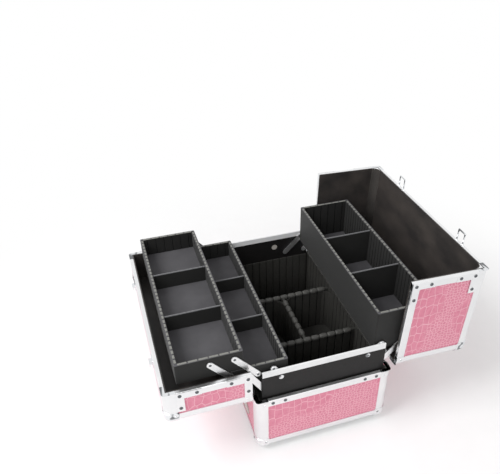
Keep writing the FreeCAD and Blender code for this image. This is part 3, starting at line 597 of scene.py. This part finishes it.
real = add(edge_tree, "GeometryNodeRealizeInstances", {0: placed.outputs[0]})
coat = add(edge_tree, "GeometryNodeSetMaterial", {
    "Geometry": real.outputs[0], "Material": given.outputs["Finish"]})
add(edge_tree, "NodeGroupOutput", {0: coat.outputs[0]})


def soft_block(name, size, soft):
    """A block of this length, width and height in millimetres, with rounded edges."""
    work = bmesh.new()
    bmesh.ops.create_cube(work, size=1.0, matrix=Matrix.Diagonal((*[c * MM for c in size], 1)))
    bmesh.ops.bevel(work, geom=work.edges[:], offset=soft * MM, segments=2, affect="EDGES", profile=0.6)
    return pattern(keep(work, name))


def set_along(name, body, slot, paths, material):
    """A piece of rows; a path is (block, points, count), with blocks evenly from end to end."""
    whole = bmesh.new()
    for block, points, count in paths:
        points = [Vector(point) * MM for point in points]
        wall = bpy.data.meshes.new(name + "_line")
        wall.from_pydata(points, [(i, i + 1) for i in range(len(points) - 1)], [])
        pitch = sum((b - a).length for a, b in zip(points, points[1:])) / (count - 1) * STEP_TRIM
        whole.from_mesh(grown(name, wall, edge_tree, {block_in: block, pitch_in: pitch, foam_in: material}))
    return to_piece(name, keep(whole, name), body, slot, material)


def row(block, start, end, count):
    """A straight path between two walls, with a block in the middle of each equal step."""
    start, end = Vector(start), Vector(end)
    half = (end - start) / count / 2
    return block, (start + half, end - half), count


print("tree:", edge_tree.name, len(edge_tree.nodes), "nodes")

# %% [markdown]
# On the long walls of a tray the flutes lie about 10 mm apart, and the ribs between them are
# laid over the CAD lining. On the end walls the CAD flutes, about 15 mm apart, stay, and
# only get their black strips of painted shade and the cut edge.

# %% Flutes, painted shade in the scores and cut edges of the trays
TRAYS = ("tray_low", "tray_high", "tray_deep")
WALL = 4.5
LONG_FLUTES, END_FLUTES = 33, 6
TOOTH_IN, TOOTH_SUNK = 3.0, 0.15
FLOOR_UP, EDGE_DOWN = 2.6, 1.0
RIB_IN = 0.4
SCORE_SUNK, END_SCORE_OUT = 0.05, 0.75
long_tooth = soft_block("long_tooth", (6.7, 3.2, 1.0), soft=0.35)
end_tooth = soft_block("end_tooth", (13.4, 3.2, 1.0), soft=0.35)
for tray in TRAYS:
    low, high = [Vector(corner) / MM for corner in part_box(tray)]
    body = tray + "_body"
    inner = high.x - WALL
    front, rear = low.y + WALL, high.y - WALL
    top = high.z - TOOTH_SUNK
    tall = high.z - low.z - FLOOR_UP - EDGE_DOWN
    mid = low.z + FLOOR_UP + tall / 2

    paths = [row(long_tooth, (-inner, y, top), (inner, y, top), LONG_FLUTES)
             for y in (low.y + TOOTH_IN, high.y - TOOTH_IN)]
    paths += [row(end_tooth, (x, front, top), (x, rear, top), END_FLUTES)
              for x in (TOOTH_IN - high.x, high.x - TOOTH_IN)]
    set_along(tray + "_foam_edge", body, "charcoal_tray", paths, small["cut_foam_edge"])

    rib = soft_block(tray + "_rib", (8.5, 1.0, tall), soft=0.4)
    paths = [row(rib, (-inner, y, mid), (inner, y, mid), LONG_FLUTES)
             for y in (front + RIB_IN, rear - RIB_IN)]
    set_along(tray + "_ribs", body, "charcoal_tray", paths, charcoal)

    # painted shade: thin black strips stand in the scores, where shade falls
    strip = soft_block(tray + "_strip", (1.5, 0.5, tall), soft=0.1)
    half = inner / LONG_FLUTES
    paths = [row(strip, (-inner + half, y, mid), (inner - half, y, mid), LONG_FLUTES - 1)
             for y in (front - SCORE_SUNK, rear + SCORE_SUNK)]
    paths += [row(strip, (x, front, mid), (x, rear, mid), END_FLUTES)
              for x in (-inner - END_SCORE_OUT, inner + END_SCORE_OUT)]
    set_along(tray + "_backing", body, "charcoal_tray", paths, small["black_foam_backing"])

# %% [markdown]
# The base is lined the same way. Its end walls are padded with ribs in front of the support
# plates' feet, its long walls keep the CAD flutes, and its dividers carry a padded ridge that
# is pinched at every flute.

# %% Flutes, painted shade in the scores, and ridges of the base
LINED_X, LINED_Y = 174.9, 105.9
LINED_LOW, LINED_TOP = 17.0, 117.4
LENGTH_FLUTES, DEPTH_FLUTES, MIDDLE_FLUTES = 23, 14, 7
END_RIB_X, END_RIB_IN = 173.0, 3.0
WALL_SCORE_OUT, DIVIDER_SCORE_OUT = 0.75, 2.25
DIVIDER_X, DIVIDER_Y, DIVIDER_HALF = 62.0, 12.0, 59.0
DIVIDER_TALL, DIVIDER_MID = 88.0, 61.0
RIDGE_HALF = (7.75, 5.2, 4.4)
RIDGE_BLUNT = 0.4
RIDGE_Z = 107.0
tall = LINED_TOP - LINED_LOW
mid = LINED_LOW + tall / 2
end_rib = soft_block("end_rib", (13.4, 3.6, tall), soft=0.8)
rib_y = LINED_Y - END_RIB_IN
paths = [row(end_rib, (x, -rib_y, mid), (x, rib_y, mid), DEPTH_FLUTES) for x in (-END_RIB_X, END_RIB_X)]
set_along("base_end_ribs", "base", "black_lining", paths, base_foam)

# painted shade: thin black strips in the scores of the base's walls and dividers
wall_strip = soft_block("wall_strip", (1.5, 0.5, tall - 1.0), soft=0.1)
divider_strip = soft_block("divider_strip", (1.5, 0.5, DIVIDER_TALL), soft=0.1)
paths = [row(wall_strip, (-LINED_X, y, mid), (LINED_X, y, mid), LENGTH_FLUTES)
         for y in (-LINED_Y - WALL_SCORE_OUT, LINED_Y + WALL_SCORE_OUT)]
for out in (-DIVIDER_SCORE_OUT, DIVIDER_SCORE_OUT):
    paths += [row(divider_strip, (x, -LINED_Y, DIVIDER_MID), (x, LINED_Y, DIVIDER_MID), DEPTH_FLUTES)
              for x in (-DIVIDER_X + out, DIVIDER_X + out)]
    y = DIVIDER_Y + out
    paths.append(row(divider_strip, (-DIVIDER_HALF, y, DIVIDER_MID), (DIVIDER_HALF, y, DIVIDER_MID),
                     MIDDLE_FLUTES))
set_along("base_backing", "base", "black_lining", paths, small["black_foam_backing"])

work = bmesh.new()
bmesh.ops.create_uvsphere(work, u_segments=14, v_segments=9, radius=1.0)
for vert in work.verts:
    x, y, z = vert.co
    x = math.copysign(abs(x) ** RIDGE_BLUNT, x)
    vert.co = Vector((RIDGE_HALF[0] * x, RIDGE_HALF[1] * y, RIDGE_HALF[2] * z)) * MM
ridge_bead = pattern(keep(work, "ridge_bead"))
far = LINED_Y - LINED_Y / DEPTH_FLUTES
paths = [row(ridge_bead, (x, -far, RIDGE_Z), (x, far, RIDGE_Z), DEPTH_FLUTES - 1)
         for x in (-DIVIDER_X, DIVIDER_X)]
far = DIVIDER_HALF - DIVIDER_HALF / MIDDLE_FLUTES
paths.append(row(ridge_bead, (-far, DIVIDER_Y, RIDGE_Z), (far, DIVIDER_Y, RIDGE_Z), MIDDLE_FLUTES - 1))
# painted highlight: the ridges take the lighter copy of the base foam
set_along("divider_ridges", "base", "black_lining", paths, small["padded_ridge_foam"])

# %% [markdown]
# In the two middle compartments the scored foam is bent round the corners in one strip, so
# the flutes run on round a quarter circle. The same tree follows an arc in place of a line.

# %% Bent corners of the base lining
BEND_R = 14.0
BEND_RIBS = 3
BEND_FROM, BEND_OVER, BEND_STEPS = 15.0, 60.0, 8
BEND_MID = 60.5
DIVIDER_THICK = 3.0
bent_rib = soft_block("bent_rib", (6.9, 2.2, 87.0), soft=0.7)
centre_x = DIVIDER_X - DIVIDER_THICK - BEND_R
walls = ((-LINED_Y, 1), (DIVIDER_Y - DIVIDER_THICK, -1), (DIVIDER_Y + DIVIDER_THICK, 1), (LINED_Y, -1))
paths = []
for sx in (-1, 1):
    for y, way in walls:
        turns = [math.radians(BEND_FROM) + t for t in sweep(BEND_OVER, BEND_STEPS)]
        arc = [(sx * (centre_x + BEND_R * math.cos(t)), y + way * BEND_R * (1 - math.sin(t)), BEND_MID)
               for t in turns]
        paths.append((bent_rib, arc, BEND_RIBS))
set_along("base_bent_corners", "base", "black_lining", paths, base_foam)

# %% [markdown]
# The tray dividers are thin sheets with a pale extruded bead pushed onto the top edge. Each
# bead is a half-round strip with a square foot, extruded straight from wall to wall.

# %% Divider beads
BEAD_HALF = 1.2
BEAD_H = 1.2
BEAD_FOOT = 0.8
BEAD_SHORT = 0.2
HALF_SHEET = 0.8
for tray in TRAYS:
    low, high = [Vector(corner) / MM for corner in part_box(tray + "_dividers")]
    work = bmesh.new()
    for x in (HALF_SHEET - high.x, high.x - HALF_SHEET):
        section = [(x + BEAD_HALF, -BEAD_FOOT)]
        section += [(x + BEAD_HALF * math.cos(t), BEAD_H * math.sin(t)) for t in sweep(180, steps=8)]
        section.append((x - BEAD_HALF, -BEAD_FOOT))
        prism(work, *[[(px, y, high.z + pz) for px, pz in section]
                      for y in (low.y + BEAD_SHORT, high.y - BEAD_SHORT)])
    name = tray + "_divider_beads"
    to_piece(name, keep(work, name), tray + "_body", "charcoal_tray", small["grey_divider_bead"])

# %% [markdown]
# At each end of the base a black plate carries the arms. Its outer face is a smooth skin that
# hides the pivots, held by two bright rivets, and a folded aluminium channel caps its top.
# Skin and channel are thin sheets, drawn as closed outlines. On the plate's inner face, beside
# the arms, one flat nickel rivet shows.

# %% Support plate skins, channels and rivets
PLATE_IN, PLATE_OUT = 172.9, 174.9
PLATE_HALF, PLATE_FOOT, PLATE_TOP = 102.6, 120.4, 174.0
PLATE_R = 8.0
SKIN_OUT = PLATE_OUT + 0.62
round_end = [(PLATE_HALF - PLATE_R * (1 - math.cos(t)), PLATE_TOP - PLATE_R * (1 - math.sin(t)))
             for t in sweep(90, steps=6)]
outline = round_end + [(-y, z) for y, z in round_end[::-1]]
outline += [(-PLATE_HALF, PLATE_FOOT), (PLATE_HALF, PLATE_FOOT)]
work = bmesh.new()
for sx in (-1, 1):
    prism(work, *[[(sx * x, y, z) for y, z in outline] for x in (PLATE_OUT, SKIN_OUT)])
to_piece("support_plate_skins", keep(work, "support_plate_skins"), "base", "black_plate",
         small["lacquered_hardboard"])

CHANNEL_HALF = 102.0
CHANNEL_LOW, CHANNEL_TOP = PLATE_TOP - 9.5, PLATE_TOP + 1.0
LIP_IN, LIP_OUT, SLOT_OUT = PLATE_IN - 0.14, PLATE_OUT + 0.95, PLATE_OUT + 0.63
CHAMFER = 0.4
fold = [(LIP_IN, CHANNEL_LOW), (PLATE_IN, CHANNEL_LOW), (PLATE_IN, PLATE_TOP), (SLOT_OUT, PLATE_TOP),
        (SLOT_OUT, CHANNEL_LOW), (LIP_OUT, CHANNEL_LOW), (LIP_OUT, CHANNEL_TOP - CHAMFER),
        (LIP_OUT - CHAMFER, CHANNEL_TOP), (LIP_IN + CHAMFER, CHANNEL_TOP), (LIP_IN, CHANNEL_TOP - CHAMFER)]
work = bmesh.new()
for sx in (-1, 1):
    prism(work, *[[(sx * x, y, z) for x, z in fold] for y in (-CHANNEL_HALF, CHANNEL_HALF)])
channels = to_piece("support_plate_channels", keep(work, "support_plate_channels"), "base",
                    "satin_aluminium", small["bright_folded_trim"])
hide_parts("support_plate_trims")

LOW_HEAD = [(0, 0), (4.0, 0), (4.0, 0.12), (3.4, 0.3), (1.6, 0.34), (1.2, 0.2), (0, 0.2)]
FLAT_HEAD = [(0, 0), (5.8, 0), (5.8, 0.06), (5.0, 0.14), (2.2, 0.14), (1.8, 0.08), (0, 0.08)]
OUTER_X, OUTER_Y, OUTER_Z = PLATE_OUT + 0.6, (-72, 72), 158.0
INNER_Y, INNER_Z = 33.0, 147.0
spots = [(Vector((sx * OUTER_X, y, OUTER_Z)) * MM, Vector((sx, 0, 0))) for sx in (-1, 1) for y in OUTER_Y]
low_head = pattern(lathe(LOW_HEAD, "low_head", segments=20))
heads = set_heads("support_plate_heads", "base", spots, low_head, FULL_SIZE, chrome)
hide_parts("support_plate_rivets")
spots = [(Vector((sx * PLATE_IN, INNER_Y, INNER_Z)) * MM, Vector((-sx, 0, 0))) for sx in (-1, 1)]
flat_head = pattern(lathe(FLAT_HEAD, "flat_head", segments=20))
set_heads("support_plate_inner_heads", "base", spots, flat_head, FULL_SIZE, small["bare_nickel_plate"])

# %% [markdown]
# The arms turn on peened rivets. Only the dark ring round each peened end shows, so a flat
# washer-like mark is set on both ends of every arm. One pivot of each arm is known: the lower
# one, on the support plate, or for the high tray the upper one, on the tray, measured from the
# middle of that tray. The arm's reach and its lean from upright give the other.

# %% Peened marks on the arms
PEEN = [(0, 0), (2.2, 0), (2.2, 0.03), (1.7, 0.06), (0, 0.03)]
HIGH_REACH, HIGH_LEAN = 53.5, 40.0
LOW_MIDDLE = -108.96
HIGH_MIDDLE = LOW_MIDDLE - 2 * HIGH_REACH * math.sin(math.radians(HIGH_LEAN))
# Each tray: the arms' outer face, reach, lean, way out, and the known pivots of front and rear arm.
ARMS = {
    "low": (172.6, 51.6, 31.5, -1, ((-96, 132), (-56, 132))),
    "high": (170.5, HIGH_REACH, HIGH_LEAN, -1, ((HIGH_MIDDLE + 0.5, 211.5), (HIGH_MIDDLE + 36.5, 211.5))),
    "deep": (172.6, 57.0, 45.0, 1, ((56, 132), (96, 132))),
}
peen = pattern(lathe(PEEN, "peen", segments=16))
for tray, (face, reach, lean, out, pivots) in ARMS.items():
    up = -1 if tray == "high" else 1
    dy = up * out * reach * math.sin(math.radians(lean))
    dz = up * reach * math.cos(math.radians(lean))
    for which, (y, z) in zip(("front", "rear"), pivots):
        spots = [(Vector((sx * face, *end)) * MM, Vector((sx, 0, 0)))
                 for sx in (-1, 1) for end in ((y, z), (y + dy, z + dz))]
        body = "tray_%s_arms_%s" % (tray, which)
        set_heads(body + "_peens", body, spots, peen, FULL_SIZE, screw_steel)

# %% [markdown]
# Where the rim channels stop, a thin pressed corner piece covers the cut ends of the rails
# and the board in them. Each is an L of sheet that lies in the seam, on the rim of the base,
# the flap and the lid, and on the two seam corners of the flap and the lid. Where the seam
# comes down to the rim there is room for one leg of it only.

# %% Corner covers on the rims
COVER_LEG, COVER_W, COVER_T = 19.5, 6.0, 0.18
COVER_R = 5.0
RIM_GAP = 0.25
# Which way the rim looks, and the sides of the case that have one.
RIMS = {"base": (1, (-1, 1)), "flap": (-1, (-1,)), "lid": (-1, (1,))}


def cover(work, corner, u, v, n, legs=2):
    """Plate from a corner, with a leg along u and maybe one along v, thickened along n."""
    flat = [(COVER_R * (1 - math.cos(t)), COVER_R * (1 - math.sin(t))) for t in sweep(90, steps=5)]
    flat += [(COVER_LEG, 0), (COVER_LEG, COVER_W)]
    flat += [(0, COVER_W)] if legs == 1 else [(COVER_W, COVER_W), (COVER_W, COVER_LEG), (0, COVER_LEG)]
    corner, u, v, n = Vector(corner), Vector(u), Vector(v), Vector(n)
    prism(work, *[[corner + u * a + v * b + n * t for a, b in flat] for t in (0, COVER_T)])


for body, (up, rim_sides) in RIMS.items():
    work = bmesh.new()
    z = RIM - up * RIM_GAP
    for sx in (-1, 1):
        for sy in rim_sides:
            cover(work, (sx * END, sy * HALF_DEPTH, z), (-sx, 0, 0), (0, -sy, 0), (0, 0, up))
            if body != "base":
                seam = SEAM + sy * SEAM_GAP
                cover(work, (sx * END, seam, TOP), (-sx, 0, 0), (0, 0, -1), (0, -sy, 0))
                cover(work, (sx * END, seam, z), (0, sy, 0), (-sx, 0, 0), (0, 0, up), legs=1)
    mesh = keep(work, body + "_rim_covers")
    mesh.transform(OPENED[body])
    to_piece(body + "_rim_covers", mesh, body, "chrome", chrome)

# %% [markdown]
# The lid's lining has no sharp corners at its ends: it runs on round a quarter circle from the
# end wall to the top. A filler with a hollow round face stands in each of the two corners, and
# an aluminium plate closes its end at the seam.

# %% Rounded inner corners of the lid
LINER_X, LINER_TOP, LINER_BACK = 176.0, 244.0, 107.0
ROUND_R = 12.0
ROUND_STEPS = 16
SUNK = 0.2
PLATE_FRONT, PLATE_BACK = SEAM + 0.02, SEAM + 0.4
section = [(LINER_X - ROUND_R * (1 - math.cos(t)), LINER_TOP - ROUND_R * (1 - math.sin(t)))
           for t in sweep(90, ROUND_STEPS)]
section += [(LINER_X - ROUND_R, LINER_TOP + SUNK), (LINER_X + SUNK, LINER_TOP + SUNK),
            (LINER_X + SUNK, LINER_TOP - ROUND_R)]
ROUNDED = (
    ("lid_round_corners", PLATE_BACK, LINER_BACK + SUNK, "black_lining", small["dull_bent_lining"]),
    ("lid_round_ends", PLATE_FRONT, PLATE_BACK, "satin_aluminium", aluminium),
)
for name, front, rear, slot, material in ROUNDED:
    work = bmesh.new()
    for sx in (-1, 1):
        faces = prism(work, *[[(sx * x, y, z) for x, z in section] for y in (front, rear)])
        for face in faces[:ROUND_STEPS]:
            face.smooth = True
    mesh = keep(work, name)
    mesh.transform(OPENED["lid"])
    to_piece(name, mesh, "lid", slot, material)

# %% [markdown]
# Each draw latch locks with a small key. Its barrel is a turned disc on the lever: a lathe
# profile, with a thin black slip on its face as painted shade for the key slot.

# %% Key barrels on the latch levers
BARREL = [(0, 0), (6.2, 0), (6.2, 1.0), (5.6, 1.6), (4.7, 1.6), (4.4, 1.3), (0, 1.3)]
BARREL_X, BARREL_Y = 98.0, -19.0
LEVER_TOP = 258.6
SLOT_SHADE_SIZE, SLOT_SHADE_UP = Vector((1.1, 5.4, 0.16)), 1.3
for side, name in ((-1, "left"), (1, "right")):
    mesh = lathe(BARREL, "barrel_" + name, segments=32)
    work = bmesh.new()
    work.from_mesh(mesh)
    lift = Matrix.Translation((0, 0, SLOT_SHADE_UP * MM))
    # painted shade: a black slip stands for the dark key slot
    slot_shade = bmesh.ops.create_cube(work, size=1.0, matrix=lift @ Matrix.Diagonal((*SLOT_SHADE_SIZE * MM, 1)))
    for face in {f for v in slot_shade["verts"] for f in v.link_faces}:
        face.material_index = 1
    work.to_mesh(mesh)
    work.free()
    mesh.transform(OPENED["lid"] @ Matrix.Translation(Vector((side * BARREL_X, BARREL_Y, LEVER_TOP)) * MM))
    to_piece("latch_barrel_" + name, mesh, "latch_lever_" + name, "chrome", chrome,
             small["moulded_black_abs"])

# %% [markdown]
# The front of the lower box carries an oval metal plate, left bare. It is a low dome with a
# raised border, turned on the lathe and squashed to an oval.

# %% Bare oval plate
OVAL_HALF = (24.0, 13.5)
OVAL_PLACE = (112.0, -114.0, 46.0)
# Shares of the half width, and heights in millimetres.
OVAL_PROFILE = [(0.0, -0.4), (1.0, -0.4), (1.0, 0.9), (0.97, 1.3), (0.92, 1.3), (0.88, 0.95), (0.6, 1.25),
                (0.3, 1.45), (0.0, 1.5)]
profile = [(OVAL_HALF[0] * share, height) for share, height in OVAL_PROFILE]
mesh = lathe(profile, "oval_plate", segments=48, squash=OVAL_HALF[1] / OVAL_HALF[0])
mesh.transform(Matrix.Translation(Vector(OVAL_PLACE) * MM) @ Matrix.Rotation(math.radians(90), 4, "X"))
to_piece("oval_plate", mesh, "base", "chrome", small["bare_nickel_plate"])

# %% [markdown]
# The stage is a plain white sweep. Seen by the camera or in a reflection it is partly its
# own light, so that it stays white as paper does in a catalogue, and the rest of it is
# ordinary matt paint, which keeps the case's shadow. Away from the case, where no shadow
# falls, it turns wholly to light and runs into the white room without a horizon. The room
# is white where it is seen, and fills in the shadows at a lower level.

# %% Floor and surroundings
FIBRE = 40.0 * MM
GLOW_NEAR, GLOW_FAR = 0.34, 0.8
GLOW_LEAST = 0.2
FLOOR_HALF = 6.0
FILL_LEVEL = 0.6
WHITE = (1, 1, 1, 1)


def seen_straight(tree):
    """1 for a ray from the camera, by a mirror or through glass, and 0 for light that fills in."""
    path = add(tree, "ShaderNodeLightPath")
    direct = path.outputs["Is Camera Ray"]
    for kind in ("Is Glossy Ray", "Is Transmission Ray"):
        either = add(tree, "ShaderNodeMath", {0: direct, 1: path.outputs[kind]}, operation="MAXIMUM")
        direct = either.outputs[0]
    return direct


paper, tree, shader, where = finish("white_paper_floor", Roughness=0.9)
wire(tree, shader, Base_Color=blend(tree, noise(tree, where, FIBRE, detail=2.0), "#F6F6F6", "#FDFDFD"))
away = add(tree, "ShaderNodeVectorMath", {0: where}, operation="LENGTH").outputs["Value"]
lit = ramp(tree, away, GLOW_NEAR, GLOW_FAR, low=GLOW_LEAST, interpolation_type="SMOOTHSTEP")
share = add(tree, "ShaderNodeMath", {0: seen_straight(tree), 1: lit}, operation="MULTIPLY")
glow = add(tree, "ShaderNodeEmission", {"Color": WHITE, "Strength": 1.0})
both = add(tree, "ShaderNodeMixShader", {0: share.outputs[0], 1: shader.outputs[0], 2: glow.outputs[0]})
tree.links.new(both.outputs[0], tree.nodes["Material Output"].inputs["Surface"])
ground = bpy.data.meshes.new("paper_floor")
corners = [(sx * FLOOR_HALF, sy * FLOOR_HALF, 0) for sx, sy in ((-1, -1), (1, -1), (1, 1), (-1, 1))]
ground.from_pydata(corners, [], [(0, 1, 2, 3)])
ground.materials.append(paper)
floor = bpy.data.objects.new("paper_floor", ground)
bpy.context.scene.collection.objects.link(floor)

room = bpy.data.worlds.new("white_room")
room.use_nodes = True
bpy.context.scene.world = room
tree = room.node_tree
sky = tree.nodes["Background"]
sky.inputs["Color"].default_value = WHITE
wire(tree, sky, Strength=ramp(tree, seen_straight(tree), 0.0, 1.0, low=FILL_LEVEL))
print("stage set")

# %% [markdown]
# The light is a wide soft box above and in front, with a weaker one from the right, as in a
# catalogue studio. The level is plain: a colour comes out about as it is written.

# %% Lights
SOFT_BOXES = (
    ("key_softbox", (0.25, -1.6, 1.9), 1.2, 38.0),
    ("side_softbox", (2.0, -0.6, 1.3), 1.0, 9.0),
)
LIT_POINT = Vector((0, 0, 0.15))


def hang(thing, place, way):
    """Put a lamp or a camera in the scene at a place, looking this way."""
    hung = bpy.data.objects.new(thing.name, thing)
    hung.location = place
    hung.rotation_mode = "QUATERNION"
    hung.rotation_quaternion = way.to_track_quat("-Z", "Y")
    bpy.context.scene.collection.objects.link(hung)
    return hung


for name, place, width, watts in SOFT_BOXES:
    lamp = bpy.data.lights.new(name, "AREA")
    lamp.size = width
    lamp.energy = watts
    hang(lamp, place, LIT_POINT - Vector(place))
print("lamps:", [name for name, *_ in SOFT_BOXES])

# %% [markdown]
# The camera stands at the right-hand end, a little to the front and well above. Its place
# and lens were fitted to corners of the case in the photograph; the shift is how far the
# lens's axis lies off the middle of the frame.

# %% Camera
FRAME_W = 500.0
FRAME_H = 474.0
FOCAL_PX = 569.96
CENTRE_PX = (275.0, 275.0)
AZIMUTH, ELEVATION = math.radians(71.49), math.radians(37.07)
CAMERA_PLACE = (0.73614, -0.27, 0.80024)
lens = bpy.data.cameras.new("camera")
lens.sensor_width = 36.0
lens.sensor_fit = "HORIZONTAL"
lens.lens = FOCAL_PX * lens.sensor_width / FRAME_W
lens.shift_x = (FRAME_W / 2 - CENTRE_PX[0]) / FRAME_W
lens.shift_y = (CENTRE_PX[1] - FRAME_H / 2) / FRAME_W
back = Vector((math.sin(AZIMUTH) * math.cos(ELEVATION), -math.cos(AZIMUTH) * math.cos(ELEVATION),
               math.sin(ELEVATION)))
bpy.context.scene.camera = hang(lens, CAMERA_PLACE, -back)
bpy.context.scene.view_settings.view_transform = "Standard"
print("lens", round(lens.lens, 2), "mm, shift", round(lens.shift_x, 3), round(lens.shift_y, 3))
